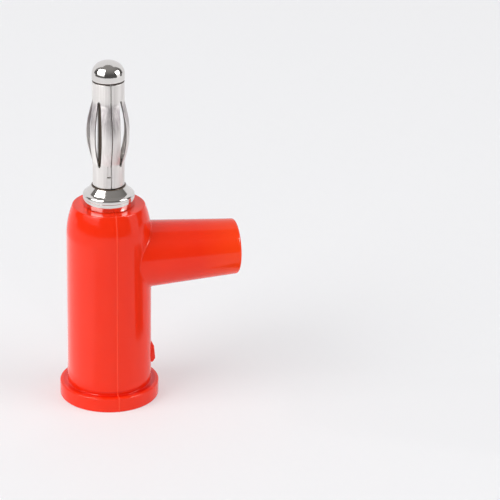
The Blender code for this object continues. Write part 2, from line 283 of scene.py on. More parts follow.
def makeRedPlastic():
    material, nodes, links, shader = newMaterial("redMouldedPlastic")
    point = objectPoint(nodes, links)
    patches = noise(nodes, links, point, redLook["patchScale"], detail=2.0)
    grain = noise(nodes, links, point, redLook["grainScale"], detail=4.0, roughness=0.6)
    colour = blendColour(nodes, links, patches, redLook["colour"], redLook["paleColour"])
    # painted glow towards the arm's open end
    tipFrom, tipTo = redLook["tipReach"]
    tip = spread(nodes, links, placeAlong(nodes, links, "X"), 0.0, 1.0, plugX + tipFrom, plugX + tipTo)
    colour = tinted(nodes, links, tip, colour, redLook["tipColour"])
    colour = tinted(nodes, links, faceTag(nodes, "recess"), colour, redLook["creaseColour"])
    colour = tinted(nodes, links, faceTag(nodes, "ridge"), colour, redLook["ridgeColour"])
    links.new(colour, shader.inputs["Base Color"])
    links.new(spread(nodes, links, patches, *redLook["roughness"]), shader.inputs["Roughness"])
    shader.inputs["Specular IOR Level"].default_value = redLook["specular"]
    shader.inputs["Subsurface Weight"].default_value = redLook["subsurface"]
    shader.inputs["Subsurface Radius"].default_value = redLook["subsurfaceRadius"]
    shader.inputs["Subsurface Scale"].default_value = redLook["subsurfaceScale"]
    addBump(nodes, links, shader, grain, redLook["grainDepth"], redLook["grainStrength"])
    return material


brightLook = {
    "colour": (0.77, 0.745, 0.725),
    "dullColour": (0.72, 0.695, 0.67),
    "recessColour": (0.12, 0.09, 0.07),    # painted shade on the rod behind the ribs and on the rims beside the cage spring
    "roughness": (0.07, 0.13),
    "recessRoughness": 0.35,
    "cloudScale": 900.0,
    "ringScale": (60.0, 60.0, 9000.0),     # turning marks, drawn out round the axis
    "ringDepth": 0.0012 * mm,
    "ringStrength": 0.5,
}


def plateMetal(nodes, links, shader, colour, gloss, look):
    # bare metal's shader, darker and duller where painted shade is tagged
    recess = faceTag(nodes, "recess")
    shader.inputs["Metallic"].default_value = 1.0
    links.new(tinted(nodes, links, recess, colour, look["recessColour"]), shader.inputs["Base Color"])
    links.new(roughened(nodes, links, recess, gloss, look["recessRoughness"]), shader.inputs["Roughness"])


def makeTurnedNickel():
    material, nodes, links, shader = newMaterial("turnedNickelPlate")
    clouds = noise(nodes, links, objectPoint(nodes, links), brightLook["cloudScale"])
    rings = noise(nodes, links, objectPoint(nodes, links, brightLook["ringScale"]), 1.0, detail=2.0)
    colour = blendColour(nodes, links, clouds, brightLook["colour"], brightLook["dullColour"])
    gloss = spread(nodes, links, clouds, *brightLook["roughness"])
    plateMetal(nodes, links, shader, colour, gloss, brightLook)
    addBump(nodes, links, shader, rings, brightLook["ringDepth"], brightLook["ringStrength"])
    return material


stripLook = {
    "colour": (0.80, 0.775, 0.76),
    "dullColour": (0.60, 0.57, 0.55),
    # painted shade on the strip's ends and cut edges
    "recessColour": (0.13, 0.10, 0.08),
    "roughness": (0.42, 0.54),
    "recessRoughness": 0.4,
    "streakScale": (3600.0, 3600.0, 90.0),   # rolling streaks along the strip
    "streakTint": (0.0, 0.6, 0.35, 0.75),    # least and most, over that stretch of the pattern
    "streakDepth": 0.003 * mm,
    "streakStrength": 0.5,
    "cloudScale": 700.0,
    "scuffColour": (0.40, 0.365, 0.375),   # the ribs' upper slopes: scuffs where they rub in the socket, and a painted dark reflection of the room in front
    "scuffFrom": (34.6 * mm, 36.6 * mm),
    "scuffTo": (38.5 * mm, 39.1 * mm),
    "scuffSpread": (0.45, 1.0, 0.35, 0.65),     # least and most, over that stretch of the streaks
}


def makeSpringStrip():
    material, nodes, links, shader = newMaterial("rolledSpringStrip")
    streaks = noise(nodes, links, objectPoint(nodes, links, stripLook["streakScale"]), 1.0, roughness=0.6)
    clouds = noise(nodes, links, objectPoint(nodes, links), stripLook["cloudScale"], detail=2.0)
    tint = spread(nodes, links, streaks, *stripLook["streakTint"])
    colour = blendColour(nodes, links, tint, stripLook["colour"], stripLook["dullColour"])
    # painted dark reflection on the ribs' upper slopes, broken up along the streaks as scuffs
    height = placeAlong(nodes, links, "Z")
    rising = spread(nodes, links, height, 0.0, 1.0, *stripLook["scuffFrom"])
    falling = spread(nodes, links, height, 1.0, 0.0, *stripLook["scuffTo"])
    uneven = spread(nodes, links, streaks, *stripLook["scuffSpread"])
    scuffAndDarkReflection = product(nodes, links, product(nodes, links, rising, falling), uneven)
    colour = tinted(nodes, links, scuffAndDarkReflection, colour, stripLook["scuffColour"])
    gloss = spread(nodes, links, clouds, *stripLook["roughness"])
    plateMetal(nodes, links, shader, colour, gloss, stripLook)
    addBump(nodes, links, shader, streaks, stripLook["streakDepth"], stripLook["streakStrength"])
    return material


steelLook = {
    "colour": (0.55, 0.56, 0.58),
    "yellowedColour": (0.60, 0.57, 0.48),
    "roughness": (0.28, 0.42),
    "cloudScale": 1500.0,
}


def makeScrewSteel():
    material, nodes, links, shader = newMaterial("zincPlatedSteel")
    clouds = noise(nodes, links, objectPoint(nodes, links), steelLook["cloudScale"], detail=4.0)
    colour = blendColour(nodes, links, clouds, steelLook["colour"], steelLook["yellowedColour"])
    links.new(colour, shader.inputs["Base Color"])
    shader.inputs["Metallic"].default_value = 1.0
    links.new(spread(nodes, links, clouds, *steelLook["roughness"]), shader.inputs["Roughness"])
    return material


# housing: one red moulding

housing = {
    "flangeRadius": housingHigh.y,
    "flangeHeight": 1.91 * mm,
    "flangeRound": 0.18 * mm,
    "bodyRadius": 5.22 * mm,
    "rootFillet": 0.12 * mm,
    "cornerShade": 0.5 * mm,     # how far the painted shade in the corner above the flange reaches
    "cornerShares": (0.55, 0.95),     # how deep that is on the body and on the flange
    "cornerLean": 0.25,          # and how much that painted shade eases away from the arm, towards the key light
    "height": housingHigh.z,
    "shoulderRadius": 10.2 * mm,
    "shoulderTurn": 22.0,
    "cornerRound": 0.18 * mm,
    "topWall": 4.0 * mm,
    "neckBore": 2.65 * mm,
    "mouthRadius": 3.35 * mm,
    "mouthChamfer": 0.15 * mm,
    "boreEdge": 0.1 * mm,
    "cornerSteps": 10,
    "shoulderSteps": 24,
    "filletSteps": 5,
    "flangeSteps": 7,
    "steps": 160,
}

arm = {
    "height": 18.45 * mm,
    "reach": housingHigh.x - plugX,
    "rootRadius": 4.45 * mm,
    "tipRadius": 3.46 * mm,
    "endRound": 0.35 * mm,
    "endTurn": 4.0,          # degrees at which the end's rounding meets its flat ring
    "endSteps": 8,
    "boreRadius": 2.5 * mm,
    "creaseFillet": 0.16 * mm,
    "creaseSegments": 4,
    "creaseWeld": 0.02 * mm,
    "nearBody": 0.02 * mm,     # how near both surfaces an edge of the crease lies
    "nearArm": 0.03 * mm,
    "steps": 128,
}

lug = {
    "height": 3.0 * mm,
    "width": 2.0 * mm,
    "proud": 0.45 * mm,
    "aboveFlange": 2.1 * mm,
    "footTaper": 0.45 * mm,
    "footProud": 0.16 * mm,
    "tipTaper": 0.85 * mm,
    "tipProud": 0.3 * mm,
    "tipSunk": 0.12 * mm,
    "rootDepth": 0.5 * mm,
    "edgeBreak": 0.07 * mm,
    "edgeSegments": 3,
}

mouldLine = {
    "halfWidth": 0.08 * mm,
    "proud": 0.05 * mm,
    "leastReach": 3.0 * mm,    # only what lies farther from the axis than this is raised
    "paleFrom": 4.22 * mm,     # and what lies farther than this gets a painted highlight
}


def shoulderFoot():
    # where the straight side ends and the bulging shoulder begins
    swing = housing["shoulderRadius"] - housing["cornerRound"]
    rise = swing * math.sin(math.radians(housing["shoulderTurn"]))
    return housing["height"] - housing["cornerRound"] - rise


def bodyRadiusAt(height):
    rise = max(0.0, height - shoulderFoot())
    bulge = housing["shoulderRadius"]
    return housing["bodyRadius"] - bulge + math.sqrt(bulge * bulge - rise * rise)


def housingOuter():
    h = housing
    body, flangeTop, fillet = h["bodyRadius"], h["flangeHeight"], h["rootFillet"]
    flangeSide = h["flangeRadius"] - h["flangeRound"]
    bulge, corner, turn = h["shoulderRadius"], h["cornerRound"], h["shoulderTurn"]
    cornerR = body - bulge + (bulge - corner) * math.cos(math.radians(turn))
    points = [(0.0, h["height"])]
    points += arc(cornerR, h["height"] - corner, corner, 90, turn, h["cornerSteps"])
    points += arc(body - bulge, shoulderFoot(), bulge, turn, 0, h["shoulderSteps"])[1:]
    points.append((body, flangeTop + h["cornerShade"]))
    points += arc(body + fillet, flangeTop + fillet, fillet, 180, 270, h["filletSteps"])
    points.append((body + h["cornerShade"], flangeTop))
    points += arc(flangeSide, flangeTop - h["flangeRound"], h["flangeRound"], 90, 0, h["flangeSteps"])
    points += arc(flangeSide, h["flangeRound"], h["flangeRound"], 0, -90, h["flangeSteps"])
    points.append((0.0, 0.0))
    return turned(points, h["steps"])


def addMouldLine(bm):
    # a low ridge where the mould's halves meet, front and back
    for side in (-mouldLine["halfWidth"], 0.0, mouldLine["halfWidth"]):
        bmesh.ops.bisect_plane(
            bm, geom=bm.verts[:] + bm.edges[:] + bm.faces[:], dist=cutTolerance,
            plane_co=(side, 0, 0), plane_no=(1, 0, 0),
        )
    bm.normal_update()
    for vert in bm.verts:
        x, y, z = vert.co
        if abs(x) < mergeDistance and abs(y) > mouldLine["leastReach"] and z > 0:
            vert.co += vert.normal * mouldLine["proud"]
            vert.co.z = max(vert.co.z, 0.0)


def armForm():
    reach, tip, rounding = arm["reach"], arm["tipRadius"], arm["endRound"]
    points = [(0.0, reach)]
    points += arc(tip - rounding, reach - rounding, rounding, 90, arm["endTurn"], arm["endSteps"])
    points += [(arm["rootRadius"], 0.0), (0.0, 0.0)]
    return laidAlongX(turned(points, arm["steps"]), arm["height"])


def lugForm():
    foot = housing["flangeHeight"] + lug["aboveFlange"]
    top = foot + lug["height"]
    radius = housing["bodyRadius"]
    side = [
        (radius - lug["rootDepth"], foot),
        (radius + lug["footProud"], foot),
        (radius + lug["proud"], foot + lug["footTaper"]),
        (radius + lug["tipProud"], top - lug["tipTaper"]),
        (radius - lug["tipSunk"], top),
        (radius - lug["rootDepth"], top),
    ]
    bm = bmesh.new()
    face = bm.faces.new([bm.verts.new((x, -lug["width"] / 2, z)) for x, z in side])
    grown = bmesh.ops.extrude_face_region(bm, geom=[face])
    moved = [item for item in grown["geom"] if isinstance(item, bmesh.types.BMVert)]
    bmesh.ops.translate(bm, verts=moved, vec=(0, lug["width"], 0))
    bmesh.ops.recalc_face_normals(bm, faces=bm.faces)
    outerEdges = [edge for edge in bm.edges if min(vert.co.x for vert in edge.verts) > radius]
    bmesh.ops.bevel(
        bm, geom=outerEdges, offset=lug["edgeBreak"], affect="EDGES", segments=lug["edgeSegments"],
        profile=0.5, material=-1,
    )
    return bm


def cavityForm():
    h = housing
    beyond = h["mouthRadius"]
    top = h["height"] - h["topWall"]
    points = [
        (0.0, h["height"] + beyond),
        (h["neckBore"] + beyond + h["boreEdge"], h["height"] + beyond),
        (h["neckBore"], h["height"] - h["boreEdge"]),
        (h["neckBore"], top),
        (h["mouthRadius"], top),
        (h["mouthRadius"], h["mouthChamfer"]),
        (h["mouthRadius"] + h["mouthChamfer"] + beyond, -beyond),
        (0.0, -beyond),
    ]
    return turned(points, h["steps"])


def armBoreForm():
    beyond = arm["boreRadius"]
    edge = housing["boreEdge"]
    points = [
        (0.0, arm["reach"] + beyond),
        (arm["boreRadius"] + edge + beyond, arm["reach"] + beyond),
        (arm["boreRadius"], arm["reach"] - edge),
        (arm["boreRadius"], 0.0),
        (0.0, 0.0),
    ]
    return laidAlongX(turned(points, arm["steps"]), arm["height"])


def armRadiusAt(x):
    share = x / (arm["reach"] - arm["endRound"])
    return arm["rootRadius"] + (arm["tipRadius"] - arm["rootRadius"]) * share


def roundCrease(piece):
    # the small fillet where the arm grows out of the body
    bm = bmesh.new()
    bm.from_mesh(piece.data)

    def onCrease(vert):
        x, y, z = vert.co
        onBody = abs(math.hypot(x, y) - bodyRadiusAt(z)) < arm["nearBody"]
        onArm = abs(math.hypot(y, z - arm["height"]) - armRadiusAt(x)) < arm["nearArm"]
        return x > 0 and onBody and onArm

    # only here, because between the spokes of the flat ends a weld comes out differently each time
    bmesh.ops.remove_doubles(bm, verts=[vert for vert in bm.verts if onCrease(vert)], dist=arm["creaseWeld"])
    crease = [edge for edge in bm.edges if all(onCrease(vert) for vert in edge.verts)]
    bmesh.ops.bevel(
        bm, geom=crease, offset=arm["creaseFillet"], affect="EDGES", segments=arm["creaseSegments"],
        profile=0.5, material=-1,
    )
    bm.to_mesh(piece.data)
    bm.free()


def paintedCornerShadeOfHousing(face):
    # painted shade in the corner between the flange's upper face and the body, lighter away from the arm,
    # towards the key light
    x, y, z = face.center
    radius = math.hypot(x, y)
    low, reach = housing["flangeHeight"], housing["cornerShade"]
    if radius < housing["neckBore"] or not low - touchMargin < z < low + reach:
        return 0.0
    onBody, onFlange = housing["cornerShares"]
    fullness = 1 - housing["cornerLean"] * (1 - x / radius)
    if z > low + housing["rootFillet"]:
        return onBody * fullness
    return onFlange * fullness if radius < housing["bodyRadius"] + reach else 0.0


def ridgeHighlightOfHousing(face):
    # painted highlight on the mould line's faces
    x, y = face.center.xy
    return 1.0 if abs(x) < mouldLine["halfWidth"] and abs(y) > mouldLine["paleFrom"] else 0.0


def makeHousing(material):
    outer = housingOuter()
    addMouldLine(outer)
    piece = looseObject("housingSkin", outer)
    combine(piece, armForm(), "UNION")
    roundCrease(piece)
    combine(piece, lugForm(), "UNION")
    combine(piece, cavityForm(), "DIFFERENCE")
    combine(piece, armBoreForm(), "DIFFERENCE")
    tagFaces(piece, "recess", paintedCornerShadeOfHousing)
    tagFaces(piece, "ridge", ridgeHighlightOfHousing)
    finishPiece(piece, "housing", "plug", material)


# contact: head, rod, cone, collar, barbed neck and socket tube, all one turning

endGap = 0.06 * mm     # between the cage spring and the head above it or the cone below

contact = {
    "steps": 144,
    "headRadius": 2.0 * mm,
    "headFoot": cageHigh.z + endGap,
    "headBand": 0.72 * mm,
    "domePower": 2.18,
    "domeSteps": 40,
    "top": contactHigh.z,
    "edgeBreak": 0.06 * mm,
    "headUnderRound": 0.2 * mm,
    "landRadius": 1.69 * mm,
    "landTaper": 0.5 * mm,
    "landOverlap": 0.15 * mm,
    "rodRadius": 1.25 * mm,
    "coneTop": cageLow.z - endGap,
    "coneHeight": 0.95 * mm,
    "coneTopRadius": 2.1 * mm,
    "coneLand": 0.12 * mm,
    "coneFootRadius": 2.86 * mm,
    "coneBulge": 0.008 * mm,
    "coneSteps": 9,
    "collarRadius": 3.15 * mm,
    "collarFoot": housingHigh.z + 0.05 * mm,
    "collarTurn": 60.0,      # degrees at which the collar's rounding meets the cone
    "grooveDepth": 0.009 * mm,
    "grooveHalf": 0.018 * mm,
    "grooveGuard": 0.045 * mm,     # rings that keep the collar flat beside a groove
    "groovesBelowTop": (0.285 * mm, 0.615 * mm),
    "tubeRadius": 2.45 * mm,
    "tubeFoot": 2.2 * mm,
    "tubeChamfer": 0.08 * mm,
    "barbRadius": 2.6 * mm,
    "barbPitch": 0.9 * mm,
    "barbLength": 0.45 * mm,
    "barbBelowTop": 0.6 * mm,
    "barbCount": 3,
    "roundSteps": 6,
    "edgeSteps": 3,
    "collarFootSteps": 4,
    "socketRadius": 2.05 * mm,
    "socketFloor": 16.3 * mm,
    "tappedRadius": 1.5 * mm,
    "tappedTop": 20.75 * mm,
    "wireHoleRadius": 1.0 * mm,
    "wireHoleHeight": 19.95 * mm,
    "wireHoleSteps": 48,
    "landShade": 0.02 * mm,     # what lies deeper than the lands by this gets painted shade
    "headShade": 0.8,           # the share of the rounding under the head that gets painted shade
}

# the cage spring's sizes come here already, since the rod and its lands follow the slots
cage = {
    "radius": 1.95 * mm,
    "wall": 0.2 * mm,
    "ribs": 8,
    "slotWidth": 0.45 * mm,
    "slotLength": 8.0 * mm,
    "slotAboveFoot": 2.845 * mm,
    "seamGap": 0.1 * mm,
    "seamAngle": -91.8,
    "lastRibExtra": 0.17 * mm,     # the strip's last rib is a little wider
    "bowTurns": {0: -15.0, 1: -20.0, 4: -34.0, 6: 31.0, 7: 22.0},    # degrees that some ribs bow aside
    "bowHeight": 0.74 * mm,
    "bowPower": 1.28,
    "bowLean": 0.11,           # the bow is fullest a little below its middle
    "bowRoot": 0.5 * mm,       # the ribs ease into the bow over this length
    "ribColumns": 8,
    "slotColumns": 8,
    "ribRows": 56,
    "bandRows": 10,
    "edgeBreak": 0.03 * mm,
    "edgeSegments": 2,
    "edgeAngle": 50.0,
    "rimDepth": 0.04 * mm,        # the rolled strip's ends get painted shade to this depth
    "rimShare": 0.9,
    "cutShare": 0.35,             # and its cut edges a little painted shade
    "cutFacing": 0.5,
    "tongueWidth": 0.36 * mm,     # the little stamped tongue beside the seam
    "tongueFoot": 1.42 * mm,
    "tongueHeight": 1.5 * mm,
    "tongueCut": 0.05 * mm,
    "tongueNick": 0.18 * mm,
}


def contactProfile():
    c = contact
    domeFoot = c["headFoot"] + c["headBand"]
    slotFoot = cageLow.z + cage["slotAboveFoot"]
    slotTop = slotFoot + cage["slotLength"]
    edge = c["edgeBreak"]
    points = crown(0.0, c["headRadius"], domeFoot, c["top"] - domeFoot, c["domePower"], c["domeSteps"])
    under = c["headUnderRound"]
    points += arc(c["headRadius"] - under, c["headFoot"] + under, under, 0, -90, c["roundSteps"])
    points += [
        (c["landRadius"], c["headFoot"]),
        (c["landRadius"], slotTop + c["landOverlap"]),
        (c["rodRadius"], slotTop + c["landOverlap"] - c["landTaper"]),
        (c["rodRadius"], slotFoot - c["landOverlap"] + c["landTaper"]),
        (c["landRadius"], slotFoot - c["landOverlap"]),
        (c["landRadius"], c["coneTop"]),
    ]
    coneEdge = edge / 2
    points += arc(c["coneTopRadius"] - coneEdge, c["coneTop"] - coneEdge, coneEdge, 90, 0, c["edgeSteps"])
    collarTop = c["coneTop"] - c["coneHeight"]
    points += coneFlank((c["coneTopRadius"], c["coneTop"] - c["coneLand"]), (c["coneFootRadius"], collarTop))
    ledge = c["collarRadius"] - c["coneFootRadius"]
    points += arc(c["collarRadius"] - ledge, collarTop - ledge, ledge, c["collarTurn"], 0, c["roundSteps"])
    points += collarGrooves(collarTop)
    points += arc(c["collarRadius"] - edge, c["collarFoot"] + edge, edge, 0, -90, c["collarFootSteps"])
    points.append((c["tubeRadius"], c["collarFoot"]))
    for i in range(c["barbCount"]):
        top = c["collarFoot"] - c["barbBelowTop"] - i * c["barbPitch"]
        points += [(c["tubeRadius"], top), (c["barbRadius"], top), (c["tubeRadius"], top - c["barbLength"])]
    chamfer = c["tubeChamfer"]
    rim = c["tubeFoot"] + chamfer
    points += arc(c["tubeRadius"] - chamfer, rim, chamfer, 0, -90, c["edgeSteps"])
    points += arc(c["socketRadius"] + chamfer, rim, chamfer, -90, -180, c["edgeSteps"])
    points += [
        (c["socketRadius"], c["socketFloor"]),
        (c["tappedRadius"], c["socketFloor"]),
        (c["tappedRadius"], c["tappedTop"]),
        (0.0, c["tappedTop"]),
    ]
    return points


def coneFlank(top, foot):
    # the cone's side, bulged a little as a parabola
    run = Vector((foot[0] - top[0], foot[1] - top[1]))
    outwards = Vector((-run.y, run.x)).normalized()
    points = []
    for i in range(contact["coneSteps"]):
        share = i / contact["coneSteps"]
        place = Vector(top) + run * share + outwards * contact["coneBulge"] * 4 * share * (1 - share)
        points.append((place.x, place.y))
    return points


def collarGrooves(collarTop):
    # shallow turning marks round the collar
    radius, guard, half = contact["collarRadius"], contact["grooveGuard"], contact["grooveHalf"]
    points = []
    for below in contact["groovesBelowTop"]:
        height = collarTop - below
        points += [(radius, height + guard), (radius, height + half)]
        points.append((radius - contact["grooveDepth"], height))
        points += [(radius, height - half), (radius, height - guard)]
    return points


def paintedShadeOfContact(face):
    # painted shade on the rod behind the ribs and on the two rims beside the cage spring, which lie in its
    # shade
    c = contact
    x, y, z = face.center
    radius = math.hypot(x, y)
    betweenEnds = c["coneTop"] - touchMargin < z < c["headFoot"] + touchMargin
    if radius < c["landRadius"] + touchMargin and betweenEnds:
        return 1.0 if radius < c["landRadius"] - c["landShade"] else 0.0
    lowest = c["coneTop"] - c["coneLand"] - touchMargin
    return 1.0 if lowest < z < c["headFoot"] + c["headShade"] * c["headUnderRound"] else 0.0


def makeContact(material):
    piece = looseObject("contactTurning", turned(contactProfile(), contact["steps"]))
    reach = 2 * contact["tubeRadius"]
    hole = rod(contact["wireHoleRadius"], -reach, 2 * reach, contact["wireHoleSteps"])
    combine(piece, laidAlongX(hole, contact["wireHoleHeight"]), "DIFFERENCE")
    tagFaces(piece, "recess", paintedShadeOfContact)
    finishPiece(piece, "contact_core", "plug", material)


# cage spring: a slotted blank, rolled round the pin

girth = math.tau * cage["radius"] - cage["seamGap"]
ribPitch = (girth + cage["slotWidth"] - cage["lastRibExtra"]) / cage["ribs"]
ribWidth = ribPitch - cage["slotWidth"]


def widthOf(rib):
    return ribWidth + (cage["lastRibExtra"] if rib == cage["ribs"] - 1 else 0.0)


def blankColumns():
    # (place across the blank, its rib, or None inside a slot)
    columns = [(0.0, 0)]
    for rib in range(cage["ribs"]):
        start = rib * ribPitch
        step = widthOf(rib) / cage["ribColumns"]
        columns += [(start + step * i, rib) for i in range(1, cage["ribColumns"] + 1)]
        if rib < cage["ribs"] - 1:
            slotStart = start + ribWidth
            step = cage["slotWidth"] / cage["slotColumns"]
            columns += [(slotStart + step * i, None) for i in range(1, cage["slotColumns"])]
            columns.append((start + ribPitch, rib + 1))
    return columns


def blankRows():
    foot, top = cageLow.z, cageHigh.z
    slotFoot = foot + cage["slotAboveFoot"]
    slotTop = slotFoot + cage["slotLength"]
    lowBand = slotFoot - cage["slotWidth"] - foot
    highBand = top - slotTop - cage["slotWidth"]
    bands = cage["bandRows"]
    rows = [foot + lowBand * i / bands for i in range(bands + 1)]
    rows += [slotFoot + cage["slotLength"] * i / cage["ribRows"] for i in range(cage["ribRows"] + 1)]
    rows += [top - highBand * (bands - i) / bands for i in range(bands + 1)]
    return rows


def bowAt(height):
    slotFoot = cageLow.z + cage["slotAboveFoot"]
    along = 2 * (height - slotFoot) / cage["slotLength"] - 1
    fromEnd = (1 - abs(along)) * cage["slotLength"] / 2
    share = min(1.0, max(0.0, fromEnd / cage["bowRoot"]))
    ease = share * share * (3 - 2 * share)
    fullness = 1 - cage["bowLean"] * along
    return cage["bowHeight"] * fullness * ease * max(0.0, 1 - along * along) ** cage["bowPower"]


def rolledAngle(across):
    return math.radians(cage["seamAngle"]) + (across + cage["seamGap"] / 2) / cage["radius"]


def bowAngle(rib):
    # which way a rib bows: outwards, give or take what the forming left
    outwards = rolledAngle(rib * ribPitch + widthOf(rib) / 2)
    return outwards + math.radians(cage["bowTurns"].get(rib, 0.0))


def rollUp(bm, columns, rows):
    # lays the flat grid round the pin, rounds the slots' ends and bows the ribs
    firstSlotRow = cage["bandRows"] + 1
    lastSlotRow = firstSlotRow + cage["ribRows"]
    half = cage["slotWidth"] / 2
    openFaces = []
    places = {}
    for vert in bm.verts:
        column = round((vert.co.x + 0.5) * (len(columns) - 1))
        row = round((vert.co.y + 0.5) * (len(rows) - 1))
        places[vert] = (column, row)
    for face in bm.faces:
        besideSlot = any(columns[places[vert][0]][1] is None for vert in face.verts)
        spans = [places[vert][1] for vert in face.verts]
        if besideSlot and min(spans) >= firstSlotRow and max(spans) <= lastSlotRow:
            openFaces.append(face)
    for vert, (column, row) in places.items():
        across, rib = columns[column]
        height = rows[row]
        if rib is None and row in (firstSlotRow, lastSlotRow):
            offCentre = math.ceil(across / ribPitch) * ribPitch - half - across
            rise = math.sqrt(max(0.0, half * half - offCentre * offCentre))
            height += rise if row == lastSlotRow else -rise
        angle = rolledAngle(across)
        x = cage["radius"] * math.cos(angle)
        y = cage["radius"] * math.sin(angle)
        if rib is not None and firstSlotRow < row < lastSlotRow:
            outwards = bowAngle(rib)
            x += bowAt(height) * math.cos(outwards)
            y += bowAt(height) * math.sin(outwards)
        vert.co = (x, y, height)
    bmesh.ops.delete(bm, geom=openFaces, context="FACES")


def cageForm():
    columns = blankColumns()
    rows = blankRows()
    bm = bmesh.new()
    bmesh.ops.create_grid(bm, x_segments=len(columns) - 1, y_segments=len(rows) - 1, size=0.5)
    rollUp(bm, columns, rows)
    bmesh.ops.recalc_face_normals(bm, faces=bm.faces)
    bm.normal_update()
    outward = sum(face.normal.dot(face.calc_center_median().xy.to_3d()) for face in bm.faces)
    if outward < 0:
        bmesh.ops.reverse_faces(bm, faces=bm.faces)
    return bm


def tongueCutter(across, width, foot, height):
    # a box through the wall, its long side along the strip
    angle = rolledAngle(across)
    bm = bmesh.new()
    bmesh.ops.create_cube(bm, size=1.0)
    bmesh.ops.scale(bm, verts=bm.verts, vec=(4 * cage["wall"], width, height))
    bmesh.ops.rotate(bm, verts=bm.verts, matrix=Matrix.Rotation(angle, 3, "Z"))
    radius = cage["radius"] - cage["wall"] / 2
    place = (radius * math.cos(angle), radius * math.sin(angle), foot + height / 2)
    bmesh.ops.translate(bm, verts=bm.verts, vec=place)
    return bm


def paintedShadeOfCage(face):
    # painted shade on the strip's two ends and, less, on its cut edges
    x, y, z = face.center
    if z < cageLow.z + cage["rimDepth"] or z > cageHigh.z - cage["rimDepth"]:
        return cage["rimShare"]
    outwards = Vector((x, y, 0)).normalized().dot(face.normal)
    return cage["cutShare"] if abs(outwards) < cage["cutFacing"] else 0.0


def makeCage(material):
    piece = looseObject("cageStrip", cageForm())
    wall = piece.modifiers.new("wall", "SOLIDIFY")
    wall.thickness = cage["wall"]
    wall.offset = -1.0
    wall.use_even_offset = True
    bevel = piece.modifiers.new("stampedEdges", "BEVEL")
    bevel.width = cage["edgeBreak"]
    bevel.segments = cage["edgeSegments"]
    bevel.limit_method = "ANGLE"
    bevel.angle_limit = math.radians(cage["edgeAngle"])
    applyModifiers(piece)
    tongueFoot = cageLow.z + cage["tongueFoot"]
    slit = tongueCutter(girth - cage["tongueWidth"], cage["tongueCut"], tongueFoot, cage["tongueHeight"])
    combine(piece, slit, "DIFFERENCE")
    nickWidth = cage["tongueWidth"] + cage["tongueCut"]
    nick = tongueCutter(girth - nickWidth / 2, nickWidth + cage["seamGap"], tongueFoot, cage["tongueNick"])
    combine(piece, nick, "DIFFERENCE")
    tagFaces(piece, "recess", paintedShadeOfCage)
    finishPiece(piece, "cage_spring", "cage", material)


# clamping screw, its slot facing the socket

screw = {
    "radius": 1.45 * mm,
    "threadDepth": 0.17 * mm,
    "threadPitch": 0.4 * mm,
    "threadCrest": 0.06 * mm,     # the crest's width, then where the root starts and ends
    "threadRoot": (0.2 * mm, 0.248 * mm),
    "chamfer": 0.2 * mm,
    "slotWidth": 0.45 * mm,
    "slotDepth": 0.8 * mm,
    "steps": 72,
}


def screwProfile():
    # the thread's turns, as rings
    s = screw
    crestR, rootR = s["radius"], s["radius"] - s["threadDepth"]
    rootStart, rootEnd = s["threadRoot"]
    points = [(0.0, screwHigh.z), (crestR - s["chamfer"], screwHigh.z)]
    height = screwHigh.z - s["chamfer"]
    while height - s["threadPitch"] > screwLow.z + s["chamfer"] / 2:
        points += [(crestR, height), (crestR, height - s["threadCrest"])]
        points += [(rootR, height - rootStart), (rootR, height - rootEnd)]
        height -= s["threadPitch"]
    points += [(crestR, height), (crestR - s["chamfer"], screwLow.z), (0.0, screwLow.z)]
    return points


def makeScrew(material):
    piece = looseObject("clampScrewSkin", turned(screwProfile(), screw["steps"]))
    slot = bmesh.new()
    bmesh.ops.create_cube(slot, size=1.0)
    size = (4 * screw["radius"], screw["slotWidth"], 2 * screw["slotDepth"])
    bmesh.ops.scale(slot, verts=slot.verts, vec=size)
    bmesh.ops.translate(slot, verts=slot.verts, vec=(0, 0, screwLow.z))
    combine(piece, slot, "DIFFERENCE")
    finishPiece(piece, "clamp_screw", "screw", material)


# stage, lights and camera

stage = {
    "floorSize": 3.0,
    "floorColour": (0.90, 0.90, 0.91),
    "floorRoughness": 0.6,
    "floorSpecular": 0.2,
    "backgroundColour": (0.872, 0.872, 0.885),
    "ambient": 0.56,
    "floorLift": 0.4,        # how much of the floor's look is the plain background colour
    "tableEdge": 0.20,       # beyond this the table's reflection gives way to the dark room
    "sheetHeight": 0.0004,     # the sheets that stand for reflections of the table lie this high
    "lampAim": 0.02,           # the lamps point at the plug's axis at this height
}

darkRoom = {
    "radius": 1.2,
    "overheadRadius": 1.212,
    "levels": (0.09, 0.30),
    "levelHeights": (0.36, 1.14),     # it grows lighter between these
    "colour": (1.0, 0.97, 0.94),
    "azimuths": (-126.0, 106.0),
    "groundAzimuths": (-110.0, 95.0),
    "capElevation": 66.0,
    "frontGrid": (96, 24),
    "overheadGrid": (96, 8),
    "groundGrid": (72, 1),
}

# white panels close to the plug, seen only as reflections: corners as azimuth in degrees and height in
# metres, round from the lower left, and how bright they are low down and high up
panels = [
    {"name": "leftPanel", "corners": ((-93.0, 0.046), (-39.0, 0.046), (-46.0, 0.330), (-104.0, 0.185)),
     "radius": 0.150, "levels": (1.1, 6.0)},
    {"name": "leftPanelCore", "corners": ((-74.0, 0.122), (-41.0, 0.122), (-44.0, 0.235), (-74.0, 0.235)),
     "radius": 0.148, "levels": (20.0, 20.0)},
    {"name": "rightPanel", "corners": ((52.0, 0.002), (77.0, 0.002), (79.0, 0.143), (46.0, 0.143)),
     "radius": 0.150, "levels": (1.1, 6.0)},
    {"name": "rightPanelCore", "corners": ((47.0, 0.100), (66.0, 0.100), (66.0, 0.142), (47.0, 0.142)),
     "radius": 0.148, "levels": (24.0, 24.0)},
]
panelShade = (0.060, 0.090)     # the panels brighten between these heights
panelGrid = (24, 12)

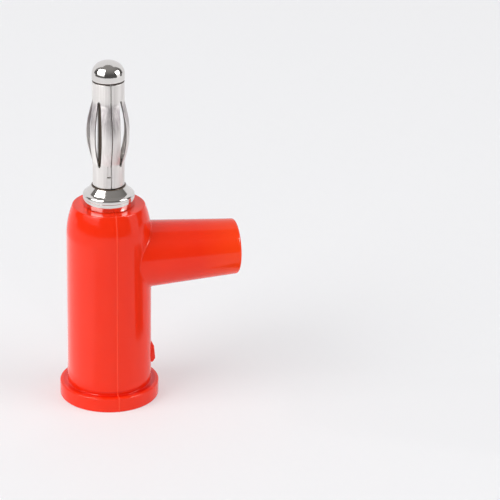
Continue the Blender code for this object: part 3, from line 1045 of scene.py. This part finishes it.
# what the housing's gloss shows of the table near it: bright on the left, in the arm's shade on the right
tablePatches = [
    {"name": "brightTable", "azimuths": (-170.0, -96.0), "reach": (0.010, 0.056), "level": 1.4},
    {"name": "lighterTable", "azimuths": (-96.0, -48.0), "reach": (0.010, 0.056), "level": 1.35},
    {"name": "shadedTable", "azimuths": (58.0, 84.0), "reach": (0.0225, 0.056), "level": 0.12},
]
patchGrid = (24, 1)

# lamps that light the plug and the floor without showing in its gloss
lamps = [
    {"name": "keyLamp", "azimuth": -72.0, "elevation": 36.0, "distance": 1.3, "width": 1.0, "height": 0.9,
     "power": 12.2},
    {"name": "fillLamp", "azimuth": 62.0, "elevation": 32.0, "distance": 1.3, "width": 0.8, "height": 0.8,
     "power": 5.8},
]

shot = {
    "place": (-67.495 * mm, -310.6 * mm, 155.57 * mm),
    "yaw": 0.2535,
    "pitch": 0.40585,
    "roll": -0.017706,
    "lens": 201.6,
    "sensor": 36.0,
    "nearest": 0.01,
}


def directionFrom(azimuthDeg, elevationDeg):
    # azimuth 0 looks from the plug towards -Y, growing towards +X
    azimuth = math.radians(azimuthDeg)
    elevation = math.radians(elevationDeg)
    level = math.cos(elevation)
    return Vector((math.sin(azimuth) * level, -math.cos(azimuth) * level, math.sin(elevation)))


def seenDirectly(nodes, links):
    # 1 for camera, glossy and transmission rays, 0 for the rest
    path = nodes.new("ShaderNodeLightPath")
    seen = path.outputs["Is Camera Ray"]
    for name in ("Is Glossy Ray", "Is Transmission Ray"):
        either = nodes.new("ShaderNodeMath")
        either.operation = "MAXIMUM"
        links.new(seen, either.inputs[0])
        links.new(path.outputs[name], either.inputs[1])
        seen = either.outputs[0]
    return seen


def makeFloor():
    bm = bmesh.new()
    bmesh.ops.create_grid(bm, x_segments=1, y_segments=1, size=stage["floorSize"] / 2)
    floor = looseObject("floorSheet", bm)
    material, nodes, links, shader = newMaterial("paleFloor")
    shader.inputs["Base Color"].default_value = (*stage["floorColour"], 1)
    shader.inputs["Roughness"].default_value = stage["floorRoughness"]
    shader.inputs["Specular IOR Level"].default_value = stage["floorSpecular"]
    glow = nodes.new("ShaderNodeEmission")
    glow.inputs["Color"].default_value = (*stage["backgroundColour"], 1)
    lift = nodes.new("ShaderNodeMath")
    lift.operation = "MULTIPLY"
    lift.inputs[1].default_value = stage["floorLift"]
    links.new(seenDirectly(nodes, links), lift.inputs[0])
    mix = nodes.new("ShaderNodeMixShader")
    links.new(lift.outputs[0], mix.inputs[0])
    links.new(shader.outputs[0], mix.inputs[1])
    links.new(glow.outputs[0], mix.inputs[2])
    links.new(mix.outputs[0], nodes["Material Output"].inputs["Surface"])
    floor.data.materials.append(material)


def curvedSheet(name, spans, grid, placeAt):
    # a grid bent round the plug; spans holds the azimuths of its lower and of its upper edge, and placeAt
    # gives radius and height for each share across and up
    bm = bmesh.new()
    bmesh.ops.create_grid(bm, x_segments=grid[0], y_segments=grid[1], size=0.5)
    lower, upper = spans
    for vert in bm.verts:
        across, rise = vert.co.x + 0.5, vert.co.y + 0.5
        start = lower[0] + (upper[0] - lower[0]) * rise
        end = lower[1] + (upper[1] - lower[1]) * rise
        azimuth = math.radians(start + (end - start) * across)
        radius, height = placeAt(across, rise)
        vert.co = (plugX + math.sin(azimuth) * radius, -math.cos(azimuth) * radius, height)
    return looseObject(name, bm)


def glowMaterial(name, level, colour=(1.0, 1.0, 1.0)):
    material = bpy.data.materials.new(name)
    material.use_nodes = True
    nodes = material.node_tree.nodes
    nodes.remove(nodes["Principled BSDF"])
    glow = nodes.new("ShaderNodeEmission")
    glow.inputs["Color"].default_value = (*colour, 1)
    glow.inputs["Strength"].default_value = level
    material.node_tree.links.new(glow.outputs[0], nodes["Material Output"].inputs["Surface"])
    return material


def brightenUpwards(material, levels, heights):
    # takes the glow from the first level to the second between two heights
    nodes, links = material.node_tree.nodes, material.node_tree.links
    level = spread(nodes, links, placeAlong(nodes, links, "Z"), *levels, *heights)
    links.new(level, nodes["Emission"].inputs["Strength"])


def showOnlyInGloss(piece, material):
    piece.data.materials.append(material)
    piece.visible_camera = False
    piece.visible_diffuse = False
    piece.visible_transmission = False
    piece.visible_volume_scatter = False
    piece.visible_shadow = False


def makeDarkRoom():
    # the unlit side of the studio, a little lighter overhead
    radius, overheadRadius = darkRoom["radius"], darkRoom["overheadRadius"]
    cap = math.radians(darkRoom["capElevation"])

    def front(across, rise):
        elevation = rise * math.pi / 2
        return radius * math.cos(elevation), radius * math.sin(elevation)

    def overhead(across, rise):
        elevation = cap + rise * (math.pi / 2 - cap)
        return overheadRadius * math.cos(elevation), overheadRadius * math.sin(elevation)

    def ground(across, rise):
        return stage["tableEdge"] + rise * (radius - stage["tableEdge"]), stage["sheetHeight"]

    material = glowMaterial("unlitStudio", darkRoom["levels"][0], darkRoom["colour"])
    brightenUpwards(material, darkRoom["levels"], darkRoom["levelHeights"])
    frontSpans = (darkRoom["azimuths"], darkRoom["azimuths"])
    groundSpans = (darkRoom["groundAzimuths"], darkRoom["groundAzimuths"])
    allRound = ((-180.0, 180.0), (-180.0, 180.0))
    showOnlyInGloss(curvedSheet("darkFront", frontSpans, darkRoom["frontGrid"], front), material)
    showOnlyInGloss(curvedSheet("darkOverhead", allRound, darkRoom["overheadGrid"], overhead), material)
    showOnlyInGloss(curvedSheet("darkGround", groundSpans, darkRoom["groundGrid"], ground), material)


def makePanel(settings):
    lowLeft, lowRight, highRight, highLeft = settings["corners"]

    def upright(across, rise):
        low = lowLeft[1] + (lowRight[1] - lowLeft[1]) * across
        high = highLeft[1] + (highRight[1] - highLeft[1]) * across
        return settings["radius"], low + (high - low) * rise

    spans = ((lowLeft[0], lowRight[0]), (highLeft[0], highRight[0]))
    material = glowMaterial(settings["name"], settings["levels"][0])
    brightenUpwards(material, settings["levels"], panelShade)
    showOnlyInGloss(curvedSheet(settings["name"], spans, panelGrid, upright), material)


def makeTablePatch(settings):
    near, far = settings["reach"]

    def flat(across, rise):
        return near + (far - near) * rise, stage["sheetHeight"]

    spans = (settings["azimuths"], settings["azimuths"])
    material = glowMaterial(settings["name"], settings["level"])
    showOnlyInGloss(curvedSheet(settings["name"], spans, patchGrid, flat), material)


def makeLamp(settings):
    target = Vector((plugX, 0, stage["lampAim"]))
    towards = directionFrom(settings["azimuth"], settings["elevation"])
    light = bpy.data.lights.new(settings["name"], "AREA")
    light.shape = "RECTANGLE"
    light.size = settings["width"]
    light.size_y = settings["height"]
    light.energy = settings["power"]
    lamp = bpy.data.objects.new(settings["name"], light)
    lamp.location = target + towards * settings["distance"]
    lamp.rotation_euler = towards.to_track_quat("Z", "Y").to_euler()
    lamp.visible_camera = False
    lamp.visible_glossy = False
    bpy.context.scene.collection.objects.link(lamp)


def makeWorld():
    # a pale surround for the camera, metal and gloss, and a softer ambient for everything else
    world = bpy.data.worlds.new("paleStudio")
    bpy.context.scene.world = world
    world.use_nodes = True
    nodes = world.node_tree.nodes
    links = world.node_tree.links
    background = nodes["Background"]
    background.inputs["Color"].default_value = (*stage["backgroundColour"], 1)
    strength = nodes.new("ShaderNodeMapRange")
    strength.inputs["To Min"].default_value = stage["ambient"]
    strength.inputs["To Max"].default_value = 1.0
    links.new(seenDirectly(nodes, links), strength.inputs["Value"])
    links.new(strength.outputs[0], background.inputs["Strength"])


def makeCamera():
    yaw, pitch, roll = shot["yaw"], shot["pitch"], shot["roll"]
    forward = Vector((math.sin(yaw) * math.cos(pitch), math.cos(yaw) * math.cos(pitch), -math.sin(pitch)))
    level = Vector((math.cos(yaw), -math.sin(yaw), 0))
    down = forward.cross(level)
    right = math.cos(roll) * level + math.sin(roll) * down
    up = math.sin(roll) * level - math.cos(roll) * down
    turn = Matrix((right, up, -forward)).transposed().to_4x4()
    data = bpy.data.cameras.new("photoCamera")
    data.lens = shot["lens"]
    data.sensor_width = shot["sensor"]
    data.clip_start = shot["nearest"]
    camera = bpy.data.objects.new("photoCamera", data)
    camera.matrix_world = Matrix.Translation(shot["place"]) @ turn
    bpy.context.scene.collection.objects.link(camera)
    bpy.context.scene.camera = camera


makeCamera()
makeHousing(makeRedPlastic())
makeContact(makeTurnedNickel())
makeCage(makeSpringStrip())
makeScrew(makeScrewSteel())
makeFloor()
makeDarkRoom()
for settings in panels:
    makePanel(settings)
for settings in tablePatches:
    makeTablePatch(settings)
for settings in lamps:
    makeLamp(settings)
makeWorld()
bpy.context.scene.view_settings.view_transform = "Standard"
print("stage, lights and camera set")
